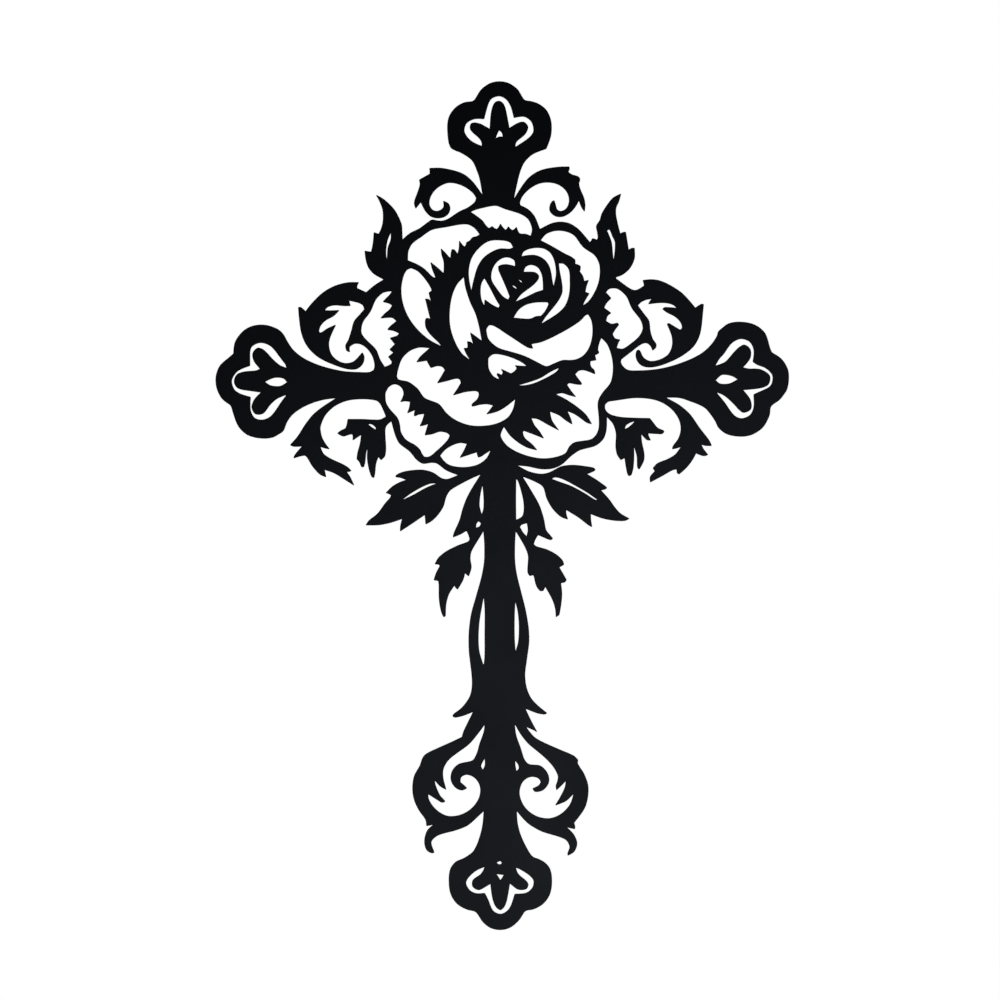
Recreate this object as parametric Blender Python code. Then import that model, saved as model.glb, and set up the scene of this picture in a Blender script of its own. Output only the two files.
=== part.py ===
"""Wall cross cut from one flat sheet of steel, with a pierced rose where its arms meet.

Metres, +Z up, front towards -Y. The origin is on the flat back, high on the centre line, where the
sheet rests on its hanging point. The cross is one piece: a single sheet with its outline and all its
openings cut straight through.
"""
import math

import bpy

# Driving sizes, in metres
CROSS_HEIGHT = 0.457
SHEET_THICKNESS = 0.002

# The drawing that the cutter follows: its own units, x to the right and y down
DRAWING_HEIGHT = 848.3
CENTRE_LINE = 500.0
HANGING_LEVEL = 172.0
UNIT = CROSS_HEIGHT / DRAWING_HEIGHT

# How finely a curved stretch is cut, in drawing units and in radians
CHORD_ERROR = 0.26
TURN_STEP = math.radians(36)

# Every motif is a list of runs. A run starts at a sharp corner and passes smoothly through its
# points to the first point of the next run.

# Outer edge, clockwise, from the top of the cross
TOP_TREFOIL = [
    [(482.8, 195.5), (479.2, 176.5), (477, 170.5), (471.9, 160), (460, 152), (451, 147.6),
     (447.6, 132), (449, 117),
     (456.5, 106.8), (465.5, 102.2)],
    [(472.5, 101.3)],
    [(474.4, 100), (480.5, 90.5), (489.5, 83.6), (499.2, 81.5), (509, 83.4), (518, 90)],
    [(521.5, 95.8)],
    [(524.6, 100), (537, 103.2), (546.5, 110.4), (551.2, 122.5), (550.5, 137)],
    [(546.3, 148.5), (533, 153.8), (524, 162.5), (519, 175)],
]
RIGHT_SCROLL = [
    [(516.2, 187)],
    [(513.5, 199.8), (519.4, 190.3), (528, 178.6), (537.6, 171.7), (547.4, 168.5), (559.6, 166.9)],
    [(569.2, 166.7)],
    [(569.4, 169)],
    [(568.1, 172), (571.5, 174.4)],
    [(578.4, 176.7), (580, 178.8)],
    [(578.9, 183.4), (580.2, 189), (584.2, 198.8)],
    [(585.1, 206)],
    [(584.5, 211.3), (581.5, 206.8)],
    [(579, 200.1), (576.2, 205.3), (571.7, 211), (563, 216.3), (554.9, 215.7), (549.9, 210.6),
     (550, 205.5), (552.2, 201.3)],
    [(554.2, 200.4), (555.6, 204.9), (557.3, 209.9), (561.2, 211.2), (566.4, 208.4), (569.2, 201.3),
     (567.5, 192.8), (561.6, 186.2), (552.8, 182.6), (540.1, 183), (529, 189), (521.8, 197)],
    [(519.8, 202.5)],
]
ROSE_RIM_UPPER_RIGHT = [
    [(520.2, 205.2), (527.9, 209.2), (534.6, 216.5), (538.5, 225.6)],
    [(539.8, 229.2), (550.8, 223.7), (560.1, 221.9), (570, 223.7), (579.6, 230.4)],
]
RIGHT_UPPER_LEAF = [
    [(590, 242.4), (591.3, 240.6)],
    [(592.4, 238.4), (594.7, 239)],
    [(597, 240), (598, 237.5), (597.3, 231.5)],
    [(596.4, 225.9), (600, 220), (601.5, 214.5), (607.8, 204.1), (613.7, 197.4)],
    [(620.9, 193.7), (618.8, 201.5), (616.3, 207), (615.8, 214), (618, 225.3)],
    [(620.3, 233.9), (623, 232.3)],
    [(625.7, 232), (627, 240)],
    [(628.6, 249.9), (631.5, 248.2)],
    [(634.5, 248), (634.6, 257.5), (630, 268), (621.5, 275)],
    [(616.2, 276.9)],
    [(615.8, 278.4), (626, 286), (633, 290), (637, 290)],
]
RIGHT_UPPER_FOLIAGE = [
    [(644.3, 285.6), (643.8, 283)],
    [(643, 280.2), (650.5, 279.5), (659, 280.5), (670, 285.2), (682.5, 293.6), (690, 301.5)],
    [(695.3, 307.9)],
    [(699, 305.4), (701, 304.2)],
    [(703.6, 304.1), (702.3, 318), (700, 333.7), (694.3, 345.4), (683.3, 354.9), (668, 362.6), (654, 366.8),
     (643.5, 366.2), (637.8, 361.5), (635.9, 355)],
    [(636.6, 350.8), (638.6, 349.7)],
    [(640, 351), (643, 357), (649.5, 361.1), (659.5, 359.7), (668.5, 354.2), (672.4, 345), (671.7, 335)],
    [(667.2, 323.8)],
    [(668.8, 323.2), (675.5, 327.2)],
    [(680.3, 330), (682.3, 327.8), (680.5, 321.8), (674.5, 316), (667, 312.2)],
    [(662.6, 308.9), (664.2, 307.5)],
    [(677.4, 308.2), (673.5, 304.9), (667, 302.9), (657, 302.8)],
    [(648.6, 303.9), (650, 301)],
    [(652.3, 298.5), (645.5, 299.8), (640.5, 302.5)],
    [(637.8, 305.5), (643.5, 313.3), (649, 321), (650.2, 330.5), (652.9, 339.4), (656.2, 344.2)],
    [(656, 347.5)],
    [(652.8, 350.4), (651, 346.3), (646.8, 342.9), (641.5, 344), (632.5, 350.6)],
    [(621.2, 359.3)],
    [(620.8, 362.5), (624.5, 368)],
]
RIGHT_ARM = [
    [(629, 370.3), (641, 370.6), (660, 368.8), (680, 363.4), (700, 354.4), (711, 345), (717.5, 335.2)],
    [(718.3, 331.9), (728, 323.9), (741, 322), (755.2, 325.1), (765, 333.3)],
    [(769.6, 346.9)],
    [(772, 352.4), (781.2, 358.8), (787.6, 369), (788.7, 378.5), (786.5, 390.3)],
    [(779.4, 399.8)],
    [(771, 406.5), (769.6, 414.5), (762.9, 427.2), (751, 434.9), (739.5, 436.3), (726.3, 433.6),
     (718.3, 426.9)],
    [(715.4, 420.9), (705.5, 408.1), (690, 401), (678.7, 397.6)],
]
RIGHT_LOWER_FOLIAGE = [
    [(665.3, 397.3), (678.3, 404.4), (690.3, 414.7), (700, 428.5)],
    [(709.5, 441)],
    [(711.6, 445.7), (706, 445.6)],
    [(701.2, 444.5), (703.5, 449)],
    [(708, 454.8), (704.5, 455.9), (699.5, 454.6)],
    [(696.1, 453.1), (692, 460.5), (686.5, 467.5)],
    [(679.2, 474.2), (677.2, 473)],
    [(676.9, 469.2), (673, 469.9)],
    [(662, 476)],
    [(650.3, 482.2), (650.2, 477)],
    [(655, 471.2)],
    [(653.1, 468), (657.5, 463.4), (667, 459.5), (675.5, 454.4), (680, 448.5)],
    [(681.3, 446.6), (676.5, 448.2)],
    [(672.4, 449), (673, 446.4), (678, 439.5), (681, 430), (679, 419), (671, 408.3), (660, 401.4),
     (648, 398.4), (633, 397.9), (616, 400.3)],
    [(608.1, 401.7), (604.9, 404.7)],
    [(605.2, 409.5), (607.5, 412.6), (611, 414.8), (622, 417.3), (636, 418)],
]
RIGHT_HANGING_LEAF = [
    [(649.8, 418.3), (653.5, 423), (657.5, 427.8)],
    [(663, 430.3), (664.1, 431.6), (662, 433.8)],
    [(658, 433.8)],
    [(648, 433.2), (648.8, 436.5)],
    [(650.7, 440.2), (647.2, 439.9)],
    [(641.1, 433.5), (641.8, 442), (644, 452.5), (643.8, 460.5)],
    [(639.2, 469.4), (637.7, 467.5), (637, 456)],
    [(633.7, 444.8), (634, 456), (633, 469)],
    [(631.3, 475), (629.2, 475.8), (627.7, 474)],
    [(624.8, 457.8)],
    [(620.8, 459.9), (617.3, 454.5), (615.8, 446), (616.2, 434), (613, 423.5)],
]
ROSE_RIM_LOWER_RIGHT = [
    [(606.8, 416.5), (606.5, 428), (603.5, 438.5), (595, 445.8), (580, 450), (571, 456), (562, 464.2),
     (552, 468.5), (540, 468.8), (527, 466.2)],
]
RIGHT_BIG_LEAF = [
    [(516.8, 465.3), (527.8, 471.1), (541, 474), (550, 472.2), (561, 466.6), (574, 465.1), (585, 466.3)],
    [(593.8, 468), (595.3, 469.8)],
    [(592.5, 471.8)],
    [(586.8, 474), (596, 479.6)],
    [(604.5, 485.6), (606.9, 487.8)],
    [(605.3, 489.1)],
    [(600.8, 490.2), (609, 499.3), (614.9, 507.5), (620.2, 513.3)],
    [(629.2, 518.6), (625.5, 520.5), (613, 520.3), (602, 518.1)],
    [(590.6, 513.8), (591, 521)],
    [(592, 526.8), (589.8, 525.9)],
    [(578.4, 517.3)],
    [(566, 509.6), (566.2, 514)],
    [(567.8, 519.3), (561.7, 517.1), (553, 509), (546.5, 497.5)],
    [(543.8, 488), (541, 484.8)],
    [(533, 480.6)],
]
RIGHT_SEPAL = [
    [(522.3, 476.3), (531, 490.5), (539.5, 505.8), (544.2, 521), (546, 530)],
    [(549.5, 534.6)],
    [(552.8, 538.4), (551, 540)],
    [(544, 537.4)],
    [(538, 534.9), (535, 540)],
    [(533.6, 544)],
]
SMALL_LEAF_RIGHT = [
    [(535.5, 546), (546, 549.3), (556, 554.4), (562.5, 560.6)],
    [(564, 564.5)],
    [(559.2, 567.3), (563, 573.8)],
    [(566.5, 580), (565, 582)],
    [(560.9, 583), (561.9, 594), (560.8, 606)],
    [(559.2, 614.8)],
    [(556.1, 617), (555.4, 609), (552.6, 600)],
    [(545.3, 586.5)],
    [(543.2, 590.8), (540, 590.9), (535.8, 584.1), (534, 576.5)],
    [(533.2, 574.9)],
    [(529.8, 575.9), (527.9, 573)],
    [(528, 564), (528.3, 556.5), (525.5, 547.8)],
]
STEM_RIGHT = [
    [(515.6, 530.8)],
    [(514.9, 542), (514.9, 561), (516.8, 575), (521, 592), (525.5, 610), (528.5, 628), (528.9, 643),
     (526.8, 659), (525, 673), (526.3, 687), (531.5, 699), (541, 708.5)],
    [(546.9, 713.2), (545, 714.2), (537, 713)],
    [(525.2, 708.5), (530.5, 719.8)],
    [(536.9, 731.9), (534, 730.2)],
]
RIGHT_BASE_SCROLL = [
    [(525.6, 726.5), (534, 737), (546, 743.8), (562, 750.8), (574.5, 756.5)],
    [(578, 760), (577.6, 763)],
    [(583.5, 773), (587.5, 783), (588.2, 793), (585.5, 806), (580.5, 814.5)],
    [(574, 822.8), (575, 826.5)],
    [(574.8, 829)],
    [(566.2, 827), (573, 833.8), (577, 843), (574, 851.7)],
    [(567.8, 855.5), (567.8, 853.5), (569.8, 847.3), (566.5, 840.3), (558, 836.3), (543, 831.8),
     (529, 824), (521, 816)],
    [(516.6, 810.6), (517.3, 822), (520.5, 835), (525.5, 846)],
]
BASE_TREFOIL = [
    [(532.5, 856.8), (544, 862.3), (549.8, 869), (551.8, 880.5), (549.8, 894), (543, 903.8), (533, 909.3)],
    [(525.5, 911), (519.8, 919), (511, 927), (500.5, 929.8), (490, 927.5), (482.2, 921)],
    [(475.5, 911.8), (468.5, 909.9), (458, 904.5), (451, 894.5), (449, 882), (450.5, 869), (456.5, 861.7)],
]
LEFT_BASE_SCROLL = [
    [(463.5, 858.7), (473, 852), (479.5, 838), (482.8, 824)],
    [(483.9, 810.8), (476.5, 817.7), (467.2, 825.6), (453.3, 830.9), (438, 835.3), (431.3, 841.5),
     (432, 847)],
    [(434.2, 852.5), (432.5, 853.1), (427, 850.3), (424.5, 841.5), (427.5, 830.5)],
    [(434.3, 824.4), (430, 825.2)],
    [(426.6, 825.9), (425.7, 820), (419.5, 811), (414.3, 800), (412.6, 788), (414.5, 775.5)],
    [(420, 765.5), (424, 756), (435, 749.6), (452, 742)],
]
STEM_LEFT = [
    [(462, 737.2), (463.3, 732.5)],
    [(473.3, 711.7), (462, 716)],
    [(454.5, 717.3), (452.6, 715.8), (461.8, 707.9), (470, 696.3), (472.2, 683), (470.7, 665.5), (469, 650),
     (468.9, 634), (471.3, 614), (476, 597), (481.8, 576), (484.2, 562), (484.4, 542)],
]
SMALL_LEAF_LEFT = [
    [(483.5, 530.8), (477, 541.5), (471, 552.3), (470.3, 560), (471.3, 567.5)],
    [(468.7, 576.2), (467, 574.8)],
    [(465, 573), (463, 580)],
    [(457.6, 589.4), (456, 588)],
    [(454.3, 585.4), (449, 593.8), (446, 604.5)],
    [(445.4, 616), (443.8, 616.9), (440.9, 610), (439, 597), (438.9, 585)],
    [(438.4, 580.8)],
    [(433.9, 580), (436, 573.5)],
    [(440, 565.7), (438.5, 564.4)],
    [(434.9, 564.1), (438.3, 558), (447, 551), (458, 545.5)],
]
LEFT_SEPAL = [
    [(468.5, 541.3), (469.8, 539)],
    [(466.5, 530.6), (460.5, 534.2)],
    [(453, 537.2), (453.8, 533.5)],
    [(459.5, 520.5), (463.2, 507.5), (468.5, 494.7)],
]
LEFT_BIG_LEAF = [
    [(481, 474), (468, 480), (455, 487), (449, 491.5)],
    [(446, 497), (443.5, 505.8), (437, 515.8), (430, 522)],
    [(425.7, 524.2), (425.3, 519)],
    [(424.8, 514.7), (412, 523.5)],
    [(400.2, 531.2), (400.5, 526)],
    [(402.2, 518.7), (391, 522.5), (378, 525)],
    [(365.8, 525.1), (366.8, 523.6)],
    [(368.8, 520.7), (377.6, 513.6), (385, 503.6), (390.5, 497.2)],
    [(391.2, 495), (388.5, 493.7)],
    [(385.9, 492.8), (393, 486.1), (400, 482.2)],
    [(406.4, 479.9), (401, 477.8)],
    [(395.8, 476.9), (395.8, 475.6), (402, 472.3), (412, 470.4), (424, 470.1), (434, 473.2), (441, 478),
     (447, 479.2)],
]
ROSE_RIM_LOWER_LEFT = [
    [(458.2, 475.1), (446.5, 470.3), (437, 463.4), (431, 462.6), (423, 463.5), (416.5, 459.5),
     (409.9, 451.6), (399.3, 443.1), (394.4, 432.2)],
]
LEFT_HANGING_LEAF = [
    [(391.4, 421), (386, 426), (385, 433), (385.8, 448), (384.5, 456.5)],
    [(381, 460)],
    [(378.4, 456.6), (376, 463), (374.7, 474)],
    [(373.8, 477.8), (372, 477), (368.8, 468), (367.2, 457)],
    [(367.8, 446.7), (366, 452.5), (364.8, 463)],
    [(363.6, 467), (361.6, 467), (359.5, 462)],
    [(356.8, 459), (357.6, 453), (360.2, 443)],
    [(361.3, 434.4), (357.5, 437)],
    [(352.8, 440.1), (352.5, 434.1)],
    [(347, 435.2), (343, 436.2)],
    [(337.4, 433.3), (341, 430.5), (345.3, 428.4), (347.2, 423)],
    [(347.8, 419.2)],
    [(364, 419.3), (380.4, 419.5)],
]
LEFT_LOWER_FOLIAGE = [
    [(386, 416.7), (383.8, 411), (380, 403.5)],
    [(377, 400.8), (369, 399.2), (357, 399.1), (346, 400.8), (334, 406.4), (325, 415.3), (321, 424)],
    [(320.1, 428), (321.7, 437), (326, 444.7)],
    [(329.3, 449), (325.5, 448.3)],
    [(320.2, 446.7), (323.3, 453.7), (332, 459.4), (343, 464.5), (348, 467.6)],
    [(351.2, 470.8), (348.5, 471.7)],
    [(346.4, 471.7), (350, 477)],
    [(353.9, 485.4), (345.5, 480), (334, 473)],
    [(324.3, 469.6)],
    [(325.9, 477), (320.2, 474.5), (311.9, 465.4), (307, 457.2)],
    [(305, 455.3), (300, 456.1)],
    [(293.8, 458.1), (294, 456.5), (299.1, 449.7)],
    [(302.3, 446.2), (296, 446.5), (293, 446.3)],
    [(290.2, 445), (297.5, 436.7), (304, 426.5), (313, 414.8), (324, 406)],
]
LEFT_ARM = [
    [(336.7, 397.8), (324.4, 399.4), (308, 404.5), (293, 413.8), (286.5, 422.5)],
    [(282.9, 431), (273.2, 437), (261.2, 438.2), (247.5, 434.8), (238.3, 426), (233.3, 413.3)],
    [(230.5, 405.4), (222, 398.5), (216.8, 388), (216, 376.5), (220, 365.7), (228.5, 358)],
    [(233.5, 353.6), (235, 342.5), (243.2, 331.2), (253.1, 325.9), (266, 325.2), (279, 330.1)],
    [(283.2, 334.4), (292, 348.7), (304, 358.5), (323, 366.6), (345, 371.5), (357, 372.2)],
]
LEFT_UPPER_FOLIAGE = [
    [(370, 372.1), (373.8, 370)],
    [(374.7, 365), (373, 357.5), (367.4, 348.8), (360.4, 344), (354, 343.7)],
    [(349.6, 346.3), (349.2, 349)],
    [(349.7, 351.9), (346.7, 350.8), (345.7, 345), (348.4, 340), (351.4, 330.9), (354.2, 321.3),
     (360, 314.4)],
    [(364.4, 309.3), (363, 305.3), (357.8, 302.4)],
    [(349, 300.4), (349.5, 303.3)],
    [(350.4, 305.6), (344, 305.7), (335, 305), (327.5, 306.9)],
    [(324.2, 310.4), (330, 310.6)],
    [(339, 310.3), (333.5, 315.8), (325.8, 320), (320.3, 325.8)],
    [(318.8, 331), (320, 333)],
    [(327, 328.8)],
    [(335.6, 324.8), (331.5, 333.5), (328.7, 343), (331.1, 354.2), (338.2, 360.9), (345.6, 363.3),
     (353.3, 361.7), (359.5, 355.8)],
    [(362.3, 352.5), (364, 356), (363, 363), (357, 368.6), (348, 369), (334.7, 364.9), (318, 356.9),
     (306.5, 345), (301, 331)],
    [(298.3, 307.2), (300.5, 307.2)],
    [(305.6, 311.4), (307.5, 308.8)],
    [(312, 303.2), (322, 293.4), (334.7, 286), (348.2, 282.5)],
    [(358.6, 282.3), (357, 285.5)],
    [(356.9, 288.2), (362, 290.5)],
]
LEFT_UPPER_LEAF = [
    [(366.2, 292.4), (374, 285.8)],
    [(383.9, 279.4), (374.7, 274.3), (368.5, 267.5), (365.6, 258)],
    [(364.8, 250.9)],
    [(371.2, 252), (372.9, 244)],
    [(374, 232.4)],
    [(378.6, 234), (380.6, 230.2), (382.9, 222), (382.6, 209.3), (379.8, 201.7)],
    [(376.3, 195), (383.7, 199.3)],
    [(394, 209.3), (397.8, 215.6), (401.6, 225), (402.1, 233)],
]
ROSE_RIM_UPPER_LEFT = [
    [(402.3, 239.8), (410, 233.3), (419.8, 228.3), (427.5, 222.6)],
    [(432, 219.8), (442, 220.9), (449, 218.4), (459, 211.8), (468.5, 207.2)],
]
LEFT_SCROLL = [
    [(474.5, 202.4), (476.3, 197.7), (469.4, 189.6), (459, 184.1), (448, 182.6), (436.5, 188.3),
     (430.5, 196.5), (429.3, 204.5), (432.8, 210.1), (438.5, 210.9), (443.6, 207)],
    [(443.3, 200.9), (448, 203.2), (450.1, 208), (447.5, 214.4), (440, 217.8), (431, 216.3),
     (424.5, 209.5)],
    [(420.7, 201.9)],
    [(415.6, 208.3)],
    [(414.2, 203), (417.6, 192.5), (420, 184)],
    [(419.3, 179.8)],
    [(429.9, 173.8), (429.9, 171)],
    [(429.5, 168.2), (440, 168), (455, 170.9), (464.8, 174.9), (474, 183.3)],
]
OUTLINE = (
    TOP_TREFOIL + RIGHT_SCROLL + ROSE_RIM_UPPER_RIGHT + RIGHT_UPPER_LEAF + RIGHT_UPPER_FOLIAGE
    + RIGHT_ARM + RIGHT_LOWER_FOLIAGE + RIGHT_HANGING_LEAF + ROSE_RIM_LOWER_RIGHT + RIGHT_BIG_LEAF
    + RIGHT_SEPAL + SMALL_LEAF_RIGHT + STEM_RIGHT + RIGHT_BASE_SCROLL + BASE_TREFOIL
    + LEFT_BASE_SCROLL + STEM_LEFT + SMALL_LEAF_LEFT + LEFT_SEPAL + LEFT_BIG_LEAF
    + ROSE_RIM_LOWER_LEFT + LEFT_HANGING_LEAF + LEFT_LOWER_FOLIAGE + LEFT_ARM
    + LEFT_UPPER_FOLIAGE + LEFT_UPPER_LEAF + ROSE_RIM_UPPER_LEFT + LEFT_SCROLL
)

# Openings of the four trefoils
TOP_TREFOIL_SLOT = [
    [(482, 146.2), (477, 144.2), (469.8, 139.8), (464.3, 131.5), (466.5, 122.9), (475, 118.6)],
    [(484, 118.7), (487, 107.5), (491, 98.8), (499.5, 95.8), (507, 99.8), (511.5, 108)],
    [(514, 117.5), (524, 116.3), (531.5, 121.5), (533.3, 132.2), (526.4, 139.8)],
    [(515.2, 147.2), (516, 142.2), (524.5, 134.5), (528, 127), (523.5, 121.9), (516, 124)],
    [(509.3, 128.2), (506.8, 115), (503.5, 104), (499, 101), (494.5, 103), (491, 114)],
    [(489.8, 129), (485.3, 126.5), (480.3, 123.8), (471.5, 123.2), (470.3, 129), (478.8, 137.5),
     (481.5, 141.5)],
]
TOP_TREFOIL_EYE = [
    [(499, 129.8), (501.8, 132.2)],
    [(503, 136.8)],
    [(499, 136.8)],
    [(495.2, 138.8), (497, 134)],
]
LEFT_TREFOIL_SLOT = [
    [(286.6, 368.2), (285.6, 364.6), (283, 361.1), (278.4, 355), (270.4, 345.9), (260, 342.6),
     (251, 347.3), (249.7, 357)],
    [(249.8, 365.6), (237.5, 371), (231.5, 380.5), (234.5, 390), (242, 394.5)],
    [(250.4, 397), (250.3, 410), (254.5, 418), (263, 419.8), (271.3, 415.8), (280.4, 403.3)],
    [(287.1, 394.2), (277, 398.5), (269.5, 405.2), (263, 413.3), (255.3, 413.9), (251.7, 406.8),
     (255.5, 398)],
    [(261.2, 392.3), (247.8, 390.4), (237.5, 387.9), (234.1, 381.4), (237.6, 374), (248, 371.3),
     (256, 370.6)],
    [(260.1, 368.9), (254.5, 362), (252.6, 353.8), (257.5, 348), (263.5, 349.8), (271.5, 358.1),
     (279.6, 365.2)],
]
LEFT_TREFOIL_EYE = [
    [(264.6, 381.8), (274, 377.6), (284, 378.6)],
    [(287.1, 382.3), (280.4, 386.1), (270, 385.3)],
]
RIGHT_TREFOIL_SLOT = [
    [(715.1, 366), (719, 359.2), (724, 353.5), (731.5, 343.3), (740.8, 338.7), (750.4, 342.1),
     (754.1, 351)],
    [(753, 361.6), (757, 364.4), (765, 367.5), (772.6, 375), (771, 385.5), (762, 390.7)],
    [(753.9, 394.4), (754.2, 405.3), (750.9, 414.3), (741.5, 418.5), (734, 415.2), (725, 403)],
    [(716, 392), (721.5, 393.9), (726, 396.6), (734.5, 404.4), (743.2, 412.4), (750.8, 409),
     (750.2, 399.5)],
    [(742.8, 389.9), (757.1, 388.5), (767.9, 384.9), (769.8, 376), (760, 369.3), (749, 368.8)],
    [(742.8, 367.4), (750, 358.5), (750.3, 349.5), (743.8, 344.8), (735.1, 351.2), (725.6, 361.7)],
]
RIGHT_TREFOIL_EYE = [
    [(715.5, 380.3), (722, 374.7), (733, 376.2)],
    [(738, 379.2), (729.4, 383.6), (719.5, 383.5)],
]
BASE_TREFOIL_SLOT = [
    [(485, 866.6), (477.5, 869.8), (469.8, 875.9), (465.8, 883), (470.5, 891.3), (477.5, 893.9)],
    [(484.8, 893.5), (488.5, 901), (493, 911), (500.6, 914.4), (508.5, 910), (512.9, 900.7)],
    [(514.8, 894.3), (526, 893.3), (532.5, 888), (533.5, 880), (525.9, 872.7), (519.1, 868.8)],
    [(515.5, 867.5), (518, 873.9), (525.4, 880.5), (528.3, 884.7), (526, 889), (519, 889.6),
     (516.5, 888.6)],
    [(509.8, 883.3), (508, 894), (505.1, 905.1), (500.4, 910.1), (495.3, 905.7), (492, 895.5)],
    [(490.5, 883.7), (484.5, 887.3), (478.5, 889.9), (472.6, 886.3), (473, 880.3), (480.2, 875),
     (483, 871.3)],
]
BASE_TREFOIL_DROP = [
    [(500, 860.8), (502, 862.6)],
    [(501, 864.6), (498.8, 864.8)],
    [(496, 862.6)],
]
BASE_TREFOIL_EYE = [
    [(496, 873.8)],
    [(504.2, 874.9)],
    [(500.5, 880.8)],
]

# Veins slit into the leaves
LEFT_UPPER_LEAF_VEIN = [
    [(390.8, 231.5), (390.9, 239), (388, 247.5), (387.3, 256)],
    [(386.6, 262), (385.8, 252), (387.4, 240)],
]
RIGHT_UPPER_LEAF_VEIN = [
    [(606.9, 230.4), (609.5, 229.2), (612.3, 235.6), (615, 241.3), (614.8, 253)],
    [(613.5, 262), (612.6, 252.8), (611.4, 242)],
]
LEFT_BIG_LEAF_VEIN = [
    [(400.8, 500.8), (410, 493.8), (421.5, 487.1), (431, 483.4)],
    [(437.3, 483.3), (427, 487.4), (412, 495.6)],
]
RIGHT_BIG_LEAF_VEIN = [
    [(551.6, 479), (554, 477.4), (560, 478), (573, 484.2), (588, 492.9)],
    [(598, 500), (595.8, 500.1), (585.4, 493.8), (571.3, 486.2), (559, 481.7)],
]
LEFT_HANGING_LEAF_VEIN = [
    [(367.6, 423.8), (371.5, 424.1), (376.1, 428)],
    [(375.8, 429.8), (371, 426.9)],
]
RIGHT_HANGING_LEAF_VEIN = [
    [(624.7, 429.2), (625.6, 425.8), (630.5, 422.4)],
    [(635.1, 421), (633, 423.5), (628.5, 427.4)],
]

# The rose, from its outer petals inwards
PETAL_UPPER_LEFT = [
    [(407.6, 260.4), (408, 252), (412, 243.5), (421, 236.8), (431.5, 229.7), (445.3, 226.9), (458, 224.5),
     (468, 224.2), (475, 228.2)],
    [(479.9, 234.2)],
    [(476.8, 236.3), (472.6, 237.4), (469.5, 240.9)],
    [(466.6, 242.2), (464.8, 246.8)],
    [(459.3, 240.8), (459, 248)],
    [(457.7, 254.1), (453.9, 249.5)],
    [(451.9, 249.4), (450.9, 253.5), (450.4, 258)],
    [(445.5, 253)],
    [(441, 248.6), (441.7, 254.5), (443.8, 262)],
    [(443.8, 273.5), (438, 268.2)],
    [(430.6, 262.2), (432.4, 269.5)],
    [(435.5, 276.8), (434.2, 277.8), (424, 268.7), (417.7, 264.7)],
]
PETAL_TOP = [
    [(470.2, 211.7), (476, 209.3), (486, 206.8), (496.4, 205.5), (505.3, 208.8), (519.3, 213.2),
     (528.3, 219), (532.2, 229.5)],
    [(530.8, 235.9), (525, 233.9), (519.5, 233.6)],
    [(516.5, 227), (512.5, 230.4)],
    [(508.3, 226.5), (505.6, 230.1)],
    [(500.4, 223.8), (496.8, 229.3)],
    [(492, 226.2), (488.6, 228.2), (482.5, 220.8), (476, 215.6)],
]
PETAL_FAR_LEFT = [
    [(411.3, 267.8), (417.5, 270.8), (424.5, 278), (430.5, 287)],
    [(431.9, 290.6)],
    [(428.8, 292.8), (430, 297.5)],
    [(431.7, 303), (429.5, 299.7)],
    [(425.3, 298.7), (428.1, 310)],
    [(430.4, 319), (426.1, 318.2), (425.9, 327.5), (432, 336), (438.5, 342.3)],
    [(442, 346.6), (431, 341), (418.5, 330.7), (408.5, 317.5), (402.7, 303), (401.1, 288), (404, 274.3),
     (407.4, 269.3)],
]
CRESCENT_LONG = [
    [(513.3, 247.5), (510, 248.8), (500.3, 248.7), (491.3, 252.2), (482.9, 258.6), (477.2, 268.2),
     (474, 279.1)],
    [(471.3, 291.2), (469.3, 281.6), (468.6, 270), (471.5, 258), (478.5, 248.2), (488.5, 241), (500.5, 240),
     (510.1, 242.2)],
]
CRESCENT_INNER_LEFT = [
    [(515.2, 266.3), (506, 264.4), (498.3, 266.6), (500.4, 274), (506, 286.8)],
    [(509.8, 296.5)],
    [(508.2, 299.7), (503.5, 297), (495.8, 287.4), (491.2, 279), (492.9, 267.6), (499, 259.9), (506.7, 257),
     (514.4, 260.2)],
]
SPUR_INNER = [
    [(484.4, 277.8), (490.5, 288.5), (496.5, 300)],
    [(499.8, 305.2)],
    [(498.6, 308), (493, 305.3)],
    [(484.8, 299.6)],
    [(484.4, 306), (481.6, 300.5), (480.5, 294), (480.6, 286.5), (481.8, 282)],
]
PETAL_LONG = [
    [(463.9, 276.6), (465.3, 286.2), (470.4, 302.3), (475.8, 314.2), (479.3, 327)],
    [(481.9, 341), (477, 337.3)],
    [(470.4, 332.6), (471.5, 338)],
    [(473.6, 344.8), (470.5, 342)],
    [(467.2, 341.5), (467.6, 347.8)],
    [(463.8, 348.1), (466.5, 354.2)],
    [(470.5, 360.2), (462, 353.8), (454.5, 341), (450, 326), (449.6, 310), (452.3, 294.5), (457.5, 283.3)],
]
PETAL_UPPER_RIGHT = [
    [(540.4, 240.3), (545.6, 234.2), (554.6, 230.7), (564.9, 231), (574.4, 235.3), (583.2, 246.7),
     (594.4, 254.7), (599.6, 264.5), (599, 281), (593.5, 294.5), (587.5, 302.5)],
    [(582.6, 305.6), (585, 300.5)],
    [(589.2, 293.5)],
    [(585.2, 292), (586.5, 286)],
    [(588.6, 280.1)],
    [(584.2, 281.2), (582.8, 276)],
    [(579.7, 271.5), (580.4, 266)],
    [(575, 263.9), (575, 259.6), (565, 253.8), (550.1, 245.3)],
]
CRESCENT_RIGHT = [
    [(521.4, 256.4), (523.5, 251.5), (532.8, 247.9), (543.7, 248.3), (551, 253.3), (555, 262.6),
     (556.1, 275)],
    [(553.5, 287.2), (552.1, 279.7), (549.5, 267), (543.8, 259.2), (535.4, 255.3), (527, 255.4)],
]
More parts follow.
